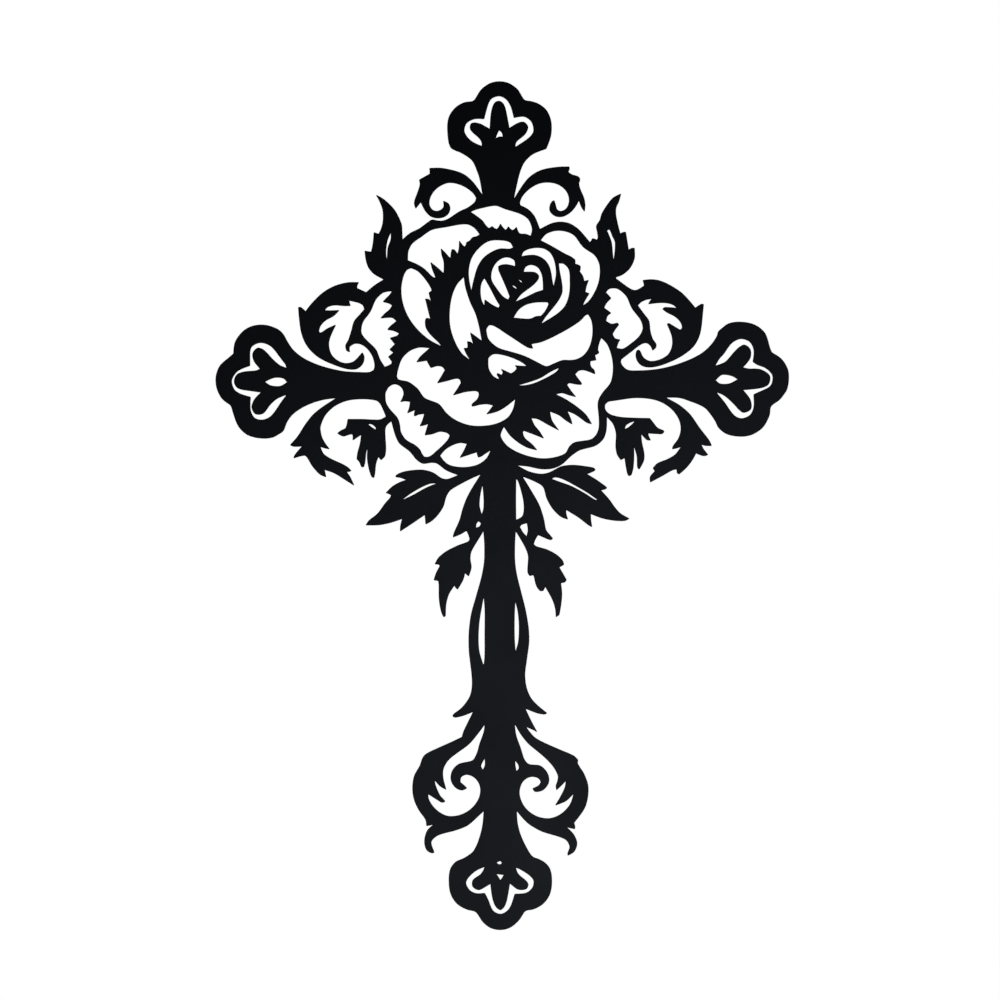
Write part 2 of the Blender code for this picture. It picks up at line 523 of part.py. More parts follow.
HEART = [
    [(523.5, 272), (525.5, 266.8), (531.5, 264.6), (538.5, 267.8), (542.5, 277)],
    [(543.2, 290), (536, 292.3), (525, 297.6)],
    [(515, 302), (521, 294.3), (531, 286.6), (537.3, 280.5), (538.9, 276), (535.2, 272.5), (529, 271.9)],
]
HEART_NICK_UPPER = [
    [(517.6, 278.9), (520.5, 280)],
    [(522.9, 282.2)],
    [(520.8, 282.4)],
]
HEART_NICK_LOWER = [
    [(511.8, 284.8), (514.5, 285.7)],
    [(517.3, 288.4)],
    [(516, 288.9), (513.3, 287)],
]
PETAL_SLOT_RIGHT = [
    [(558.7, 263), (563.5, 263.5), (568.8, 269), (570, 280), (569.3, 294), (565, 306), (556, 314.7)],
    [(540.8, 324.2), (545.5, 316.8), (556, 303.8), (562, 293), (561.7, 282), (559.3, 269)],
]
PETAL_TIP = [
    [(513.2, 317.8), (518.2, 310.1), (526, 304.5), (538, 302)],
    [(547.8, 302)],
    [(548.7, 304.3), (545.3, 311)],
    [(541, 316), (536, 316.4)],
    [(530, 318.8)],
]
PETAL_BROAD = [
    [(486.3, 329), (488.8, 325.2), (493, 325.3), (504, 332), (518, 341.2), (528.5, 347.6)],
    [(532.9, 348.4)],
    [(531.3, 343.9), (541, 341.9), (556, 335.2), (570, 327.5), (580.5, 320.3), (585.9, 314.8)],
    [(588.3, 314.1), (591.3, 319.5), (592.8, 331), (590.3, 345), (584, 355), (575, 359.7)],
    [(563, 360.2), (553, 364), (546.5, 366.4), (538, 362.7), (524, 355.9), (508, 351), (497.8, 347.6),
     (488, 338.4)],
]
PETAL_LOWER_MIDDLE = [
    [(488.2, 358), (493, 354.1), (503, 354.8), (514, 358.3), (522, 362.2)],
    [(527, 366), (523.5, 366.1)],
    [(515, 365.5), (516.9, 368)],
    [(514.5, 371.3), (510.8, 373.5)],
    [(508, 372.2)],
    [(501.2, 369), (503, 373)],
    [(501.5, 375)],
    [(497.5, 373.2)],
    [(496.8, 374.6), (499, 378.3)],
    [(498.3, 379.3), (493.5, 376.5), (488.6, 368.5)],
]
PETAL_SLIT = [
    [(517, 385.5), (528, 382.3), (540, 378), (551, 371.4)],
    [(559.3, 367.5), (557.2, 371), (545.2, 378.4), (534.1, 383.3), (524, 385.5)],
]
PETAL_LOWER_LEFT = [
    [(430, 347.9), (420, 347.2), (410, 350.6), (402, 358.3), (398.3, 368), (396.8, 377)],
    [(398.5, 379.5), (408, 381.8), (418, 389.3), (424, 397.5), (429.5, 400.3), (439, 404.2), (446, 412.7),
     (455, 419.8), (469, 425.2), (483, 426), (497.3, 423.4), (508.4, 417), (513.5, 408)],
    [(515.5, 398.8), (505.2, 406.9), (497.3, 411.3)],
    [(486.5, 414.2), (489.5, 410.5)],
    [(493.3, 405.3), (487, 404)],
    [(479, 404.7), (472, 406.2)],
    [(471.9, 404.3), (477.3, 399.2), (479, 393)],
    [(477, 391.2), (467, 391.5)],
    [(453.2, 395.1), (457, 389.5)],
    [(461, 383), (459.5, 379), (455, 378.6), (446, 381)],
    [(437.3, 383), (440.5, 377.8)],
    [(445, 370), (442.5, 366.8), (437, 365.9)],
    [(430.8, 367.7), (428.6, 364)],
    [(426.8, 360.4), (422, 361.2)],
    [(416.6, 362), (420.5, 356.5)],
]
PETAL_LOWER_RIGHT = [
    [(601.4, 337.6), (607, 343.5), (611.5, 355), (613.2, 368), (610.5, 383), (602, 393.7)],
    [(598.2, 402), (599, 417), (598.5, 430), (592.5, 438.7), (582, 441.1)],
    [(574, 442.7), (569.3, 446.8), (566, 452.8), (555, 457.3), (540, 458.4), (522, 454.1), (507.2, 445.9),
     (500.5, 435.3)],
    [(503.9, 426.6), (510, 435.2), (520, 443.5), (528.5, 447.9)],
    [(537, 450.1), (532, 444.2), (525, 438.3), (522.7, 432)],
    [(524, 430.7), (533, 434)],
    [(543.8, 438.3), (539.2, 431.1), (534.5, 425.3)],
    [(531.2, 418.1), (537, 418.7), (547, 424)],
    [(558.8, 430.2), (551.8, 420.2)],
    [(549.7, 411.3), (559, 415.1), (566, 420.4)],
    [(572.2, 424.2), (571, 419.5)],
    [(567.3, 410.9), (575, 414.2), (583, 419.8), (586.8, 422.5)],
    [(591.7, 424), (588.6, 418.5), (584.9, 413.6), (573, 404), (564, 398.4)],
    [(555.6, 394.3), (562, 392.9), (569, 395)],
    [(575.8, 396.8), (571.5, 391.5)],
    [(567, 385), (568.5, 383)],
    [(574, 383.8), (581.9, 384.2), (579, 379.8)],
    [(575, 374.3), (578.5, 370.8), (584, 370)],
    [(595.1, 374), (594.3, 370.2), (591.2, 367.1), (590.2, 363.7)],
    [(590.3, 361)],
    [(596.1, 360)],
    [(594.9, 355), (598.9, 352.8)],
    [(597.9, 350), (599, 343.5)],
]
ROSE_SIDE_LEFT = [
    [(392.2, 290.9), (383, 292.5), (375.1, 300.4), (370.3, 311.3), (363, 321.5), (361.3, 333), (368, 341.6),
     (375.8, 349.5), (380, 359.5)],
    [(384.7, 367), (391.5, 363.8)],
    [(391.9, 361.5)],
    [(388.3, 356.8)],
    [(393.5, 352.6)],
    [(389.6, 349.5)],
    [(395, 344.2)],
    [(390, 338)],
    [(397.5, 335.5)],
    [(399.2, 333.3), (394, 330.8)],
    [(387.5, 329.6), (389.5, 327)],
    [(396.6, 321), (392.5, 317.7)],
    [(380.7, 318.1), (384.9, 313.5), (389.5, 309.6)],
    [(392.2, 305.5), (389.5, 303.5)],
    [(383, 301.7), (386.6, 297.8), (389.7, 294.8)],
]
ROSE_SIDE_RIGHT = [
    [(605.7, 292.2), (609, 288.8), (617.3, 288.5), (626.9, 296.7), (632, 308), (640.3, 319), (643, 328),
     (639.5, 336), (630.5, 344), (622.5, 348.9)],
    [(616.6, 348.1), (617.8, 344)],
    [(620, 339.6), (615, 338.5)],
    [(612.5, 334.1), (614.9, 329.9)],
    [(618.9, 324.7), (617.5, 322.9), (611.5, 323.9)],
    [(606, 321.2), (607.4, 316)],
    [(611, 312.9)],
    [(604, 307.8), (606.5, 303)],
    [(611.1, 298.2)],
]
ROSE_RIM_OPENING_LEFT = [
    [(385.3, 393), (388.5, 387), (395, 384), (401.5, 387.5), (403.7, 394)],
    [(400.5, 401.8), (405, 401)],
    [(410.2, 401.7), (409.3, 407.5)],
    [(407.4, 413)],
    [(415.1, 409.8), (414.2, 416)],
    [(418, 414.6)],
    [(424.3, 413.6), (423, 419)],
    [(419.9, 426.1), (424, 425.2)],
    [(428.3, 423.8), (426.3, 430)],
    [(424.9, 435.1), (432, 434)],
    [(440, 431.5), (446.5, 432.6), (449.8, 435.5), (446, 442), (436, 451.5), (430, 456.3), (424, 456.8),
     (419.7, 449.5)],
    [(414.5, 444.8), (405.5, 439.4), (400.5, 431.2), (399.7, 425), (397.7, 418.5), (390, 409.5),
     (385.7, 402)],
]
ROSE_RIM_OPENING_LOWER = [
    [(439.9, 455.6), (445, 449.7), (454, 444.4), (461, 442.7)],
    [(467, 443.8), (464.5, 449.5)],
    [(459.9, 457.6), (468, 455)],
    [(476.8, 452.1), (478.5, 457.4)],
    [(484.3, 454.2)],
    [(491, 450), (487, 457.8), (478, 464.6), (463, 467.3), (449, 464.9), (442.8, 459.8)],
]

# Slots beside the stem, and the base
CALYX_SLIT_LEFT = [
    [(482.6, 484), (483.7, 497), (483.5, 509)],
    [(481.7, 515), (479.4, 506), (480.5, 493)],
]
CALYX_SLIT_RIGHT = [
    [(516, 478.6), (517.8, 480.5), (521.8, 493), (524, 506), (522.4, 516.3)],
    [(516, 520), (515.8, 500)],
]
CALYX_PIN_LEFT = [
    [(478.6, 521), (481.1, 523.2)],
    [(479.9, 526.2), (475.9, 527.9)],
    [(476.6, 523.2)],
]
CALYX_PIN_RIGHT = [
    [(527, 523), (528, 530)],
    [(526.7, 536.6), (523, 532.5)],
    [(519.8, 527), (521, 525)],
]
STEM_SLIT_LEFT = [
    [(483.7, 595.8), (484.8, 608), (484.8, 635), (484.7, 657)],
    [(484, 664.5)],
    [(482.9, 664.3), (479.3, 652), (478.3, 638), (479.5, 620)],
]
STEM_SLIT_RIGHT = [
    [(515.2, 600.5), (517.6, 610), (519.1, 625), (518.2, 643)],
    [(515.4, 652.5), (514.5, 638), (514.5, 615)],
]
SCROLL_OPENING_LEFT = [
    [(484.8, 724.2), (484.1, 731), (479.4, 744.8), (477, 753.3)],
    [(473, 760.3), (468.5, 762), (459, 764.2), (452.3, 771), (451, 780), (455.5, 787.5), (462, 790.2)],
    [(466.8, 788.3), (464, 785.5)],
    [(460.3, 782.5), (461, 777.3), (466.5, 774.6), (475, 778), (480.2, 787), (478.7, 799), (470, 810),
     (458, 815.8), (446, 815.9), (434.6, 808.5), (428.5, 799)],
    [(428, 793.8), (436, 799)],
    [(442.3, 802.5), (445, 801.5), (440.8, 797)],
    [(438.5, 793), (435, 784)],
    [(434.6, 779.9), (440, 786)],
    [(446, 789.6), (443.3, 779.5), (443.2, 769.5), (448, 760.5), (457, 753), (469, 744), (478, 733.5)],
]
SCROLL_OPENING_RIGHT = [
    [(514.5, 723.2), (520, 733), (528.7, 743.9), (536, 750), (542.4, 755.3), (552.8, 766), (558.2, 777)],
    [(556, 786)],
    [(556.5, 790), (561, 785.8)],
    [(566.2, 780.4), (565, 787.5), (560.5, 797)],
    [(555.5, 805.3), (566.3, 800.7)],
    [(573.8, 793.5), (570.5, 804), (561, 814.3), (549, 818.7), (535.5, 816), (524.3, 806.8), (519.4, 793.5),
     (522.5, 782), (530, 776.9), (538, 778), (540.9, 782.5), (537.5, 786.5)],
    [(532.7, 788.7), (534.5, 791.5), (543, 790), (548.8, 782), (547.5, 773.5), (540, 765.9),
     (528.7, 764.3)],
    [(524.8, 760.4), (520.5, 748), (516, 735)],
]
BASE_TEAR_LEFT = [
    [(484.9, 758.2), (485, 765.5)],
    [(483, 770.2), (480.7, 766)],
]
BASE_TEAR_RIGHT = [
    [(515, 760.3), (518.3, 764.5), (519, 769)],
    [(516.3, 771.7), (515.2, 765)],
]
OPENINGS = (
    TOP_TREFOIL_SLOT, TOP_TREFOIL_EYE, LEFT_TREFOIL_SLOT, LEFT_TREFOIL_EYE, RIGHT_TREFOIL_SLOT,
    RIGHT_TREFOIL_EYE, BASE_TREFOIL_SLOT, BASE_TREFOIL_DROP, BASE_TREFOIL_EYE,
    LEFT_UPPER_LEAF_VEIN, RIGHT_UPPER_LEAF_VEIN, LEFT_BIG_LEAF_VEIN, RIGHT_BIG_LEAF_VEIN,
    LEFT_HANGING_LEAF_VEIN, RIGHT_HANGING_LEAF_VEIN,
    PETAL_UPPER_LEFT, PETAL_TOP, PETAL_FAR_LEFT, CRESCENT_LONG, CRESCENT_INNER_LEFT, SPUR_INNER,
    PETAL_LONG, PETAL_UPPER_RIGHT, CRESCENT_RIGHT, HEART, HEART_NICK_UPPER, HEART_NICK_LOWER,
    PETAL_SLOT_RIGHT, PETAL_TIP, PETAL_BROAD, PETAL_LOWER_MIDDLE, PETAL_SLIT, PETAL_LOWER_LEFT,
    PETAL_LOWER_RIGHT, ROSE_SIDE_LEFT, ROSE_SIDE_RIGHT, ROSE_RIM_OPENING_LEFT, ROSE_RIM_OPENING_LOWER,
    CALYX_SLIT_LEFT, CALYX_SLIT_RIGHT, CALYX_PIN_LEFT, CALYX_PIN_RIGHT, STEM_SLIT_LEFT,
    STEM_SLIT_RIGHT, SCROLL_OPENING_LEFT, SCROLL_OPENING_RIGHT, BASE_TEAR_LEFT, BASE_TEAR_RIGHT,
)


def smooth_run(knots):
    """Points along a smooth curve through the knots, without the last one, finer where it turns."""
    if len(knots) == 2:
        return [knots[0]]
    spans = [math.dist(a, b) ** 0.5 for a, b in zip(knots, knots[1:])]
    first = [2 * knots[0][i] - knots[1][i] for i in (0, 1)]
    last = [2 * knots[-1][i] - knots[-2][i] for i in (0, 1)]
    padded = [first] + list(knots) + [last]
    steps = [spans[0]] + spans + [spans[-1]]
    points = []
    for n in range(1, len(padded) - 2):
        before, start, end, after = padded[n - 1:n + 3]
        gap_before, gap, gap_after = steps[n - 1:n + 2]
        slope_in, slope_out = [], []
        for i in (0, 1):
            chord = (end[i] - start[i]) / gap
            behind = (start[i] - before[i]) / gap_before
            ahead = (after[i] - end[i]) / gap_after
            skew_in = (end[i] - before[i]) / (gap_before + gap)
            skew_out = (after[i] - start[i]) / (gap + gap_after)
            slope_in.append(gap * (behind - skew_in + chord))
            slope_out.append(gap * (chord - skew_out + ahead))
        turn = abs(math.remainder(
            math.atan2(slope_out[1], slope_out[0]) - math.atan2(slope_in[1], slope_in[0]), math.tau))
        bulge = math.dist(start, end) * math.tan(turn / 4) / 2
        count = max(1, math.ceil(turn / TURN_STEP), math.ceil(math.sqrt(bulge / CHORD_ERROR)))
        for k in range(count):
            t = k / count
            points.append([
                start[i] * (1 + 2 * t) * (1 - t) ** 2 + slope_in[i] * t * (1 - t) ** 2
                + end[i] * t * t * (3 - 2 * t) + slope_out[i] * t * t * (t - 1)
                for i in (0, 1)
            ])
    return points


def cut_line(motif):
    """The closed line of a motif, in metres on the sheet."""
    points = []
    for run, following in zip(motif, motif[1:] + motif[:1]):
        points += smooth_run(run + [following[0]])
    return [((x - CENTRE_LINE) * UNIT, (HANGING_LEVEL - y) * UNIT) for x, y in points]


def cut_sheet(name, lines, thickness):
    """A flat sheet with an outer line and openings, both cut square through it."""
    curve = bpy.data.curves.new(name, "CURVE")
    curve.dimensions = "2D"
    curve.fill_mode = "BOTH"
    curve.extrude = thickness / 2
    for line in lines:
        spline = curve.splines.new("POLY")
        spline.points.add(len(line) - 1)
        for point, (x, z) in zip(spline.points, line):
            point.co = (x, z, 0, 1)
        spline.use_cyclic_u = True
    return bpy.data.objects.new(name, curve)


def black_powder_coat():
    """Matt black powder coat on steel."""
    material = bpy.data.materials.new("black_powder_coat")
    material.use_nodes = True
    shader = material.node_tree.nodes["Principled BSDF"]
    shader.inputs["Base Color"].default_value = (0.004, 0.004, 0.005, 1)
    shader.inputs["Roughness"].default_value = 0.5
    shader.inputs["Metallic"].default_value = 0
    return material


for leftover in list(bpy.data.objects):
    bpy.data.objects.remove(leftover)

cross = cut_sheet("cut_steel_cross", [cut_line(motif) for motif in (OUTLINE,) + OPENINGS], SHEET_THICKNESS)
# The sheet stands upright with its back in the plane of the wall, at y = 0
cross.rotation_euler = (math.pi / 2, 0, 0)
cross.location = (0, -SHEET_THICKNESS / 2, 0)
cross.data.materials.append(black_powder_coat())

collection = bpy.data.collections.new("wall_cross")
bpy.context.scene.collection.children.link(collection)
collection.objects.link(cross)
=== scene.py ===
"""Metal wall cross: a black powder-coated sheet of steel, pierced with a rose, leaves and scrolls."""
import math

import bmesh
import bpy
from mathutils import Matrix, Vector


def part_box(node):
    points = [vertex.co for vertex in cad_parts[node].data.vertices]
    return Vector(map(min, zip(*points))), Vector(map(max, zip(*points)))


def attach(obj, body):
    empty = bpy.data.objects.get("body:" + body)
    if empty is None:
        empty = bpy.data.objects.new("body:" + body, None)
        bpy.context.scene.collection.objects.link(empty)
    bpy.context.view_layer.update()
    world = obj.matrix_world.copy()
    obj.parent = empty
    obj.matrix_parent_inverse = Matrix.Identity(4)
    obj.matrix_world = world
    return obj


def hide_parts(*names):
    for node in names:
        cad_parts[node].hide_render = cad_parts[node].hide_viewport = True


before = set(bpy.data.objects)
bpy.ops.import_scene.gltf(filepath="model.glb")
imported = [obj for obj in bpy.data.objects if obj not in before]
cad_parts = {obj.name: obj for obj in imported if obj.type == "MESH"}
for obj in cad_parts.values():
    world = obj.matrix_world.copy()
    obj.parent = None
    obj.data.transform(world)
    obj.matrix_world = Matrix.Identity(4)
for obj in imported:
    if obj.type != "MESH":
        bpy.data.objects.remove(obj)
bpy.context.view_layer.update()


# The coated sheet
# The whole cross is one sheet of mild steel, cut along its outline and openings by a laser.
# Matt black polyester powder is sprayed on and baked. The molten coat stands on the square cut walls
# as a thick film, which rounds their edges and bridges the pointed ends of the narrowest slits.

SHEET = "cut_steel_cross"
FRONT_FACING = -0.9
FLAT_FACING = 0.999
SAME_POINT = 1e-6
WELD_GAP = 5e-7
SHORTEST_GAP = 1e-9

CORNER_TURN = math.radians(44)
LINE_STEP = 0.0009
TIP_ROUNDING = 0.00036
TIP_STEPS = 4
EDGE_ROUNDING = 0.00022
EDGE_STEPS = 8
COAT_FILM = 0.00018

COAT_BLACK = (0.0024, 0.0028, 0.005, 1)
CLOUD_BLACK = (0.0036, 0.004, 0.0062, 1)
CUT_WALL_BLACK = (0.012, 0.012, 0.013, 1)
COAT_SPECULAR = 0.35
PEEL_SCALE = 900
PEEL_DETAIL = 3
PEEL_STRENGTH = 0.25
PEEL_DEPTH = 0.00004
CLOUD_SCALE = 28
CLOUD_DETAIL = 4
CLOUD_LOW = 0.3
CLOUD_HIGH = 0.7
SMOOTHEST = 0.37
ROUGHEST = 0.43


def cut_lines(node):
    """The closed lines of the sheet's front face, in order, with the metal on their left."""
    sheet = bmesh.new()
    sheet.from_mesh(node.data)
    bmesh.ops.remove_doubles(sheet, verts=sheet.verts, dist=SAME_POINT)
    sheet.normal_update()
    following = {}
    for face in sheet.faces:
        if face.normal.y > FRONT_FACING:
            continue
        for loop in face.loops:
            if loop.link_loop_radial_next.face.normal.y > FRONT_FACING:
                following[loop.vert] = loop.link_loop_next.vert
    lines = []
    while following:
        start, vert = following.popitem()
        line = [Vector((start.co.x, start.co.z))]
        while vert is not start:
            line.append(Vector((vert.co.x, vert.co.z)))
            vert = following.pop(vert)
        lines.append(line)
    sheet.free()
    return lines


def turn_at(before, here, after):
    """How far a line turns at a point, in radians."""
    return abs((here - before).angle_signed(after - here, 0))


def flowing(before, start, end, after, step):
    """Points from start up to end on a smooth curve that also heeds its neighbours."""
    pairs = ((before, start), (start, end), (end, after))
    gaps = [max(SHORTEST_GAP, (b - a).length) ** 0.5 for a, b in pairs]
    leaving = (start - before) / gaps[0] - (end - before) / (gaps[0] + gaps[1]) + (end - start) / gaps[1]
    arriving = (end - start) / gaps[1] - (after - start) / (gaps[1] + gaps[2]) + (after - end) / gaps[2]
    count = max(1, round((end - start).length / step))
    points = []
    for n in range(count):
        t = n / count
        points.append(
            start * (1 + 2 * t) * (1 - t) ** 2 + leaving * gaps[1] * t * (1 - t) ** 2
            + end * t * t * (3 - 2 * t) + arriving * gaps[1] * t * t * (t - 1)
        )
    return points


def softened(line):
    """The line as the laser travels it: smooth between its corners, which keep a small radius."""
    size = len(line)
    corner = [turn_at(line[n - 1], line[n], line[(n + 1) % size]) > CORNER_TURN for n in range(size)]
    points = []
    for n in range(size):
        start, end = line[n], line[(n + 1) % size]
        before = 2 * start - end if corner[n] else line[n - 1]
        after = 2 * end - start if corner[(n + 1) % size] else line[(n + 2) % size]
        stretch = flowing(before, start, end, after, LINE_STEP)
        if corner[n]:
            back = line[n - 1] - start
            ahead = end - start
            reach = min(TIP_ROUNDING, back.length / 3, ahead.length / 3)
            first = start + back.normalized() * reach
            last = start + ahead.normalized() * reach
            for k in range(TIP_STEPS + 1):
                t = k / TIP_STEPS
                points.append(first * (1 - t) ** 2 + start * 2 * t * (1 - t) + last * t * t)
            stretch = stretch[1:]
        points += stretch
    return points


outline = bpy.data.curves.new("cut_lines", "CURVE")
outline.dimensions = "3D"
for line in cut_lines(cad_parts[SHEET]):
    points = softened(line)
    spline = outline.splines.new("POLY")
    spline.points.add(len(points) - 1)
    for point, place in zip(spline.points, points):
        point.co = (place.x, place.y, 0, 1)
    spline.use_cyclic_u = True


def powder_coat():
    """Matt black powder coat with a fine orange peel, slight clouding and lighter cut walls."""
    material = bpy.data.materials.new("black_powder_coat")
    material.use_nodes = True
    nodes, links = material.node_tree.nodes, material.node_tree.links
    shader = nodes["Principled BSDF"]
    shader.inputs["Specular IOR Level"].default_value = COAT_SPECULAR
    place = nodes.new("ShaderNodeTexCoord")
    peel = nodes.new("ShaderNodeTexNoise")
    peel.inputs["Scale"].default_value = PEEL_SCALE
    peel.inputs["Detail"].default_value = PEEL_DETAIL
    cloud = nodes.new("ShaderNodeTexNoise")
    cloud.inputs["Scale"].default_value = CLOUD_SCALE
    cloud.inputs["Detail"].default_value = CLOUD_DETAIL
    rim = nodes.new("ShaderNodeAttribute")
    rim.attribute_name = "cut_wall"
    colour = nodes.new("ShaderNodeMix")
    colour.data_type = "RGBA"
    colour.inputs[6].default_value = COAT_BLACK
    colour.inputs[7].default_value = CLOUD_BLACK
    edge = nodes.new("ShaderNodeMix")
    edge.data_type = "RGBA"
    edge.inputs[7].default_value = CUT_WALL_BLACK
    gloss = nodes.new("ShaderNodeMapRange")
    gloss.inputs["From Min"].default_value = CLOUD_LOW
    gloss.inputs["From Max"].default_value = CLOUD_HIGH
    gloss.inputs["To Min"].default_value = SMOOTHEST
    gloss.inputs["To Max"].default_value = ROUGHEST
    bump = nodes.new("ShaderNodeBump")
    bump.inputs["Strength"].default_value = PEEL_STRENGTH
    bump.inputs["Distance"].default_value = PEEL_DEPTH
    links.new(place.outputs["Object"], peel.inputs["Vector"])
    links.new(place.outputs["Object"], cloud.inputs["Vector"])
    links.new(cloud.outputs["Fac"], colour.inputs[0])
    links.new(colour.outputs[2], edge.inputs[6])
    links.new(rim.outputs["Fac"], edge.inputs[0])
    links.new(edge.outputs[2], shader.inputs["Base Color"])
    links.new(cloud.outputs["Fac"], gloss.inputs["Value"])
    links.new(gloss.outputs["Result"], shader.inputs["Roughness"])
    links.new(peel.outputs["Fac"], bump.inputs["Height"])
    links.new(bump.outputs["Normal"], shader.inputs["Normal"])
    return material


def coated_sheet_tree():
    """Fills the cut lines on both faces and sweeps a wall with rounded edges along them."""
    tree = bpy.data.node_groups.new("coated_sheet", "GeometryNodeTree")
    sockets = tree.interface
    sockets.new_socket("Geometry", in_out="OUTPUT", socket_type="NodeSocketGeometry")
    sockets.new_socket("Geometry", in_out="INPUT", socket_type="NodeSocketGeometry")
    for name in ("Sheet thickness", "Edge rounding", "Coat film"):
        sockets.new_socket(name, in_out="INPUT", socket_type="NodeSocketFloat")
    sockets.new_socket("Coat", in_out="INPUT", socket_type="NodeSocketMaterial")
    nodes, links = tree.nodes, tree.links
    given = nodes.new("NodeGroupInput")
    made = nodes.new("NodeGroupOutput")

    def node(kind, **settings):
        new = nodes.new(kind)
        for key, value in settings.items():
            setattr(new, key, value)
        return new

    def maths(operation, a, b):
        new = node("ShaderNodeMath", operation=operation)
        for socket, value in zip(new.inputs, (a, b)):
            if isinstance(value, (int, float)):
                socket.default_value = value
            else:
                links.new(value, socket)
        return new.outputs[0]

    thickness, rounding = given.outputs["Sheet thickness"], given.outputs["Edge rounding"]
    level = maths("SUBTRACT", maths("MULTIPLY", thickness, 0.5), rounding)
    step_out = maths("SUBTRACT", given.outputs["Coat film"], rounding)

    upright = node("GeometryNodeSetCurveNormal", mode="Z_UP")
    links.new(given.outputs["Geometry"], upright.inputs["Curve"])

    # The cut wall: half a circle pulled apart to the sheet's thickness, swept along every line
    arc = node("GeometryNodeCurveArc", mode="RADIUS")
    arc.inputs["Resolution"].default_value = EDGE_STEPS
    arc.inputs["Start Angle"].default_value = -math.pi / 2
    arc.inputs["Sweep Angle"].default_value = math.pi
    links.new(rounding, arc.inputs["Radius"])
    spot = node("GeometryNodeInputPosition")
    parts = node("ShaderNodeSeparateXYZ")
    links.new(spot.outputs[0], parts.inputs[0])
    pull = maths("MULTIPLY", maths("SIGN", parts.outputs["Y"], 0), level)
    shift = node("ShaderNodeCombineXYZ")
    links.new(step_out, shift.inputs["X"])
    links.new(pull, shift.inputs["Y"])
    stretched = node("GeometryNodeSetPosition")
    links.new(arc.outputs["Curve"], stretched.inputs["Geometry"])
    links.new(shift.outputs[0], stretched.inputs["Offset"])
    wall = node("GeometryNodeCurveToMesh")
    links.new(upright.outputs[0], wall.inputs["Curve"])
    links.new(stretched.outputs[0], wall.inputs["Profile Curve"])
    marked = node("GeometryNodeStoreNamedAttribute", data_type="FLOAT", domain="FACE")
    marked.inputs["Name"].default_value = "cut_wall"
    marked.inputs["Value"].default_value = 1.0
    links.new(wall.outputs[0], marked.inputs["Geometry"])

    # The two faces: the lines drawn in as far as the cut walls' rounding reaches, and filled
    normal = node("GeometryNodeInputNormal")
    inward = node("ShaderNodeVectorMath", operation="SCALE")
    links.new(normal.outputs[0], inward.inputs[0])
    links.new(step_out, inward.inputs["Scale"])
    drawn_in = node("GeometryNodeSetPosition")
    links.new(upright.outputs[0], drawn_in.inputs["Geometry"])
    links.new(inward.outputs[0], drawn_in.inputs["Offset"])
    filled = node("GeometryNodeFillCurve", mode="TRIANGLES")
    links.new(drawn_in.outputs[0], filled.inputs["Curve"])
    joined = node("GeometryNodeJoinGeometry")
    for side in (1, -1):
        lift = node("ShaderNodeCombineXYZ")
        links.new(maths("MULTIPLY", thickness, 0.5 * side), lift.inputs["Z"])
        moved = node("GeometryNodeTransform")
        links.new(filled.outputs[0], moved.inputs["Geometry"])
        links.new(lift.outputs[0], moved.inputs["Translation"])
        if side < 0:
            flipped = node("GeometryNodeFlipFaces")
            links.new(moved.outputs[0], flipped.inputs[0])
            moved = flipped
        links.new(moved.outputs[0], joined.inputs[0])
    links.new(marked.outputs[0], joined.inputs[0])
    real = node("GeometryNodeRealizeInstances")
    links.new(joined.outputs[0], real.inputs[0])
    coat = node("GeometryNodeSetMaterial")
    links.new(real.outputs[0], coat.inputs["Geometry"])
    links.new(given.outputs["Coat"], coat.inputs["Material"])
    links.new(coat.outputs[0], made.inputs[0])
    return tree


lowest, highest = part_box(SHEET)
thickness = highest.y - lowest.y
lines = bpy.data.objects.new("cut_lines", outline)
bpy.context.scene.collection.objects.link(lines)
coating = lines.modifiers.new("coated_sheet", "NODES")
coating.node_group = coated_sheet_tree()
values = {
    "Sheet thickness": thickness,
    "Edge rounding": EDGE_ROUNDING,
    "Coat film": COAT_FILM,
    "Coat": powder_coat(),
}
for socket in coating.node_group.interface.items_tree:
    if socket.name in values:
        coating[socket.identifier] = values[socket.name]
evaluated = lines.evaluated_get(bpy.context.evaluated_depsgraph_get())
sheet_mesh = bpy.data.meshes.new_from_object(evaluated)
bpy.data.objects.remove(lines)

# The lines were drawn lying down: the sheet is stood up, in the place of the node that it replaces
standing = Matrix.Rotation(math.pi / 2, 4, "X")
middle_depth = Matrix.Translation((0, (lowest.y + highest.y) / 2, 0))
sheet_mesh.transform(middle_depth @ standing)
welded = bmesh.new()
welded.from_mesh(sheet_mesh)
bmesh.ops.remove_doubles(welded, verts=welded.verts, dist=WELD_GAP)
bmesh.ops.recalc_face_normals(welded, faces=welded.faces)
for face in welded.faces:
    face.smooth = abs(face.normal.y) < FLAT_FACING
welded.to_mesh(sheet_mesh)
welded.free()
sheet_mesh.name = "coated_steel_cross"
cross = bpy.data.objects.new("coated_steel_cross", sheet_mesh)
bpy.context.scene.collection.objects.link(cross)
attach(cross, "root")
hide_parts(SHEET)


# The floor
# A plain pale floor of matt paint, as far below the cross as when it hangs at eye level.
# It glows softly by itself and grows white far off, as the curved end of a photo studio does.
# The coat neither mirrors it nor takes light from it.

FLOOR_LEVEL = -1.6
FLOOR_REACH = 60.0
FLOOR_BASE = (0.02, 0.02, 0.02, 1)
FLOOR_ROUGHNESS = 0.9
FLOOR_GLOW = 0.86
COVE_GLOW = 1.0
COVE_START = 3.0
COVE_END = 8.0
WHITE = (1, 1, 1, 1)

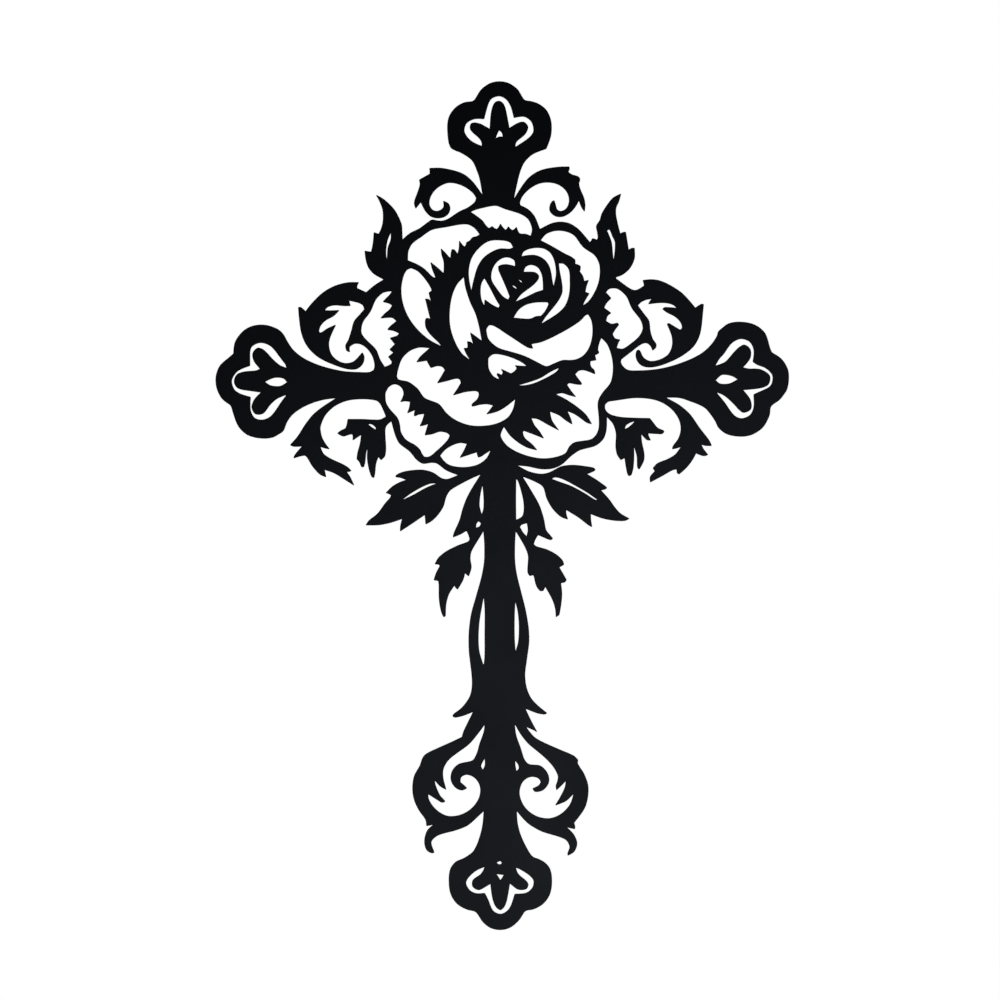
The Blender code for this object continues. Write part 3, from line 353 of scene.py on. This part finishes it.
floor_paint = bpy.data.materials.new("pale_floor_paint")
floor_paint.use_nodes = True
floor_nodes, floor_links = floor_paint.node_tree.nodes, floor_paint.node_tree.links
floor_shader = floor_nodes["Principled BSDF"]
floor_shader.inputs["Base Color"].default_value = FLOOR_BASE
floor_shader.inputs["Roughness"].default_value = FLOOR_ROUGHNESS
floor_shader.inputs["Emission Color"].default_value = WHITE
floor_place = floor_nodes.new("ShaderNodeTexCoord")
floor_distance = floor_nodes.new("ShaderNodeVectorMath")
floor_distance.operation = "LENGTH"
floor_cove = floor_nodes.new("ShaderNodeMapRange")
floor_cove.interpolation_type = "SMOOTHSTEP"
floor_cove.inputs["From Min"].default_value = COVE_START
floor_cove.inputs["From Max"].default_value = COVE_END
floor_cove.inputs["To Min"].default_value = FLOOR_GLOW
floor_cove.inputs["To Max"].default_value = COVE_GLOW
floor_links.new(floor_place.outputs["Object"], floor_distance.inputs[0])
floor_links.new(floor_distance.outputs["Value"], floor_cove.inputs["Value"])
floor_links.new(floor_cove.outputs["Result"], floor_shader.inputs["Emission Strength"])
floor_mesh = bpy.data.meshes.new("pale_floor")
floor_mesh.from_pydata(
    [(FLOOR_REACH * x, FLOOR_REACH * y, FLOOR_LEVEL) for x, y in ((-1, -1), (1, -1), (1, 1), (-1, 1))],
    [], [(0, 1, 2, 3)])
floor_mesh.materials.append(floor_paint)
floor = bpy.data.objects.new("pale_floor", floor_mesh)
bpy.context.scene.collection.objects.link(floor)
floor.visible_diffuse = False
floor.visible_glossy = False


# The light
# One weak panel in front, a little low and to the right, makes the sheen that grows towards the foot.
# Panels at the four corners, one high up and one straight behind bring out the cut walls, and show the
# sheet from other sides.

DAYLIGHT = (0.78, 0.83, 1.0)
MIDDLE = (0, 0, -0.18)
ROOM_GLOW = 0.008


def soft_panel(name, place, width, height, power):
    """A large soft light, unseen by the camera, aimed at the middle of the cross."""
    light = bpy.data.lights.new(name, "AREA")
    light.shape = "RECTANGLE"
    light.size, light.size_y = width, height
    light.energy = power
    light.color = DAYLIGHT
    panel = bpy.data.objects.new(name, light)
    panel.location = place
    panel.rotation_euler = (Vector(MIDDLE) - Vector(place)).to_track_quat("-Z", "Y").to_euler()
    panel.visible_camera = False
    bpy.context.scene.collection.objects.link(panel)


soft_panel("front_panel", place=(0.2, -1.0, -0.42), width=0.9, height=0.6, power=1.42)
soft_panel("overhead_panel", place=(0, 1.2, 1.5), width=1.6, height=1.0, power=9)
for side in (-1, 1):
    soft_panel(f"front_corner_{side}", place=(1.95 * side, -1.1, -0.95), width=1.0, height=1.6, power=1.6)
    soft_panel(f"back_corner_{side}", place=(1.7 * side, 1.5, -0.3), width=1.0, height=1.8, power=10)
soft_panel("back_panel", place=(0, 2.2, -0.3), width=0.8, height=1.0, power=2)

world = bpy.data.worlds.new("studio")
bpy.context.scene.world = world
world.use_nodes = True
nodes, links = world.node_tree.nodes, world.node_tree.links
glow = nodes["Background"]
glow.inputs["Color"].default_value = WHITE
glow.inputs["Strength"].default_value = ROOM_GLOW
seen = nodes.new("ShaderNodeBackground")
seen.inputs["Color"].default_value = WHITE
rays = nodes.new("ShaderNodeLightPath")
choice = nodes.new("ShaderNodeMixShader")
links.new(rays.outputs["Is Camera Ray"], choice.inputs["Fac"])
links.new(glow.outputs["Background"], choice.inputs[1])
links.new(seen.outputs["Background"], choice.inputs[2])
links.new(choice.outputs["Shader"], nodes["World Output"].inputs["Surface"])


# The camera
# The photograph looks straight at the cross from far off, and its 1000 pixels span 0.539 m at the sheet.
# Its middle lies on the stem's centre line, a little under the rose.

PICTURE_SPAN = 0.5387
PICTURE_MIDDLE = (0.0, -0.1767)
LENS = 135
SENSOR = 36

camera_data = bpy.data.cameras.new("camera")
camera_data.lens = LENS
camera_data.sensor_width = SENSOR
camera = bpy.data.objects.new("camera", camera_data)
camera.location = (PICTURE_MIDDLE[0], lowest.y - PICTURE_SPAN * LENS / SENSOR, PICTURE_MIDDLE[1])
camera.rotation_euler = (math.pi / 2, 0, 0)
bpy.context.scene.collection.objects.link(camera)
bpy.context.scene.camera = camera
bpy.context.scene.view_settings.view_transform = "Standard"
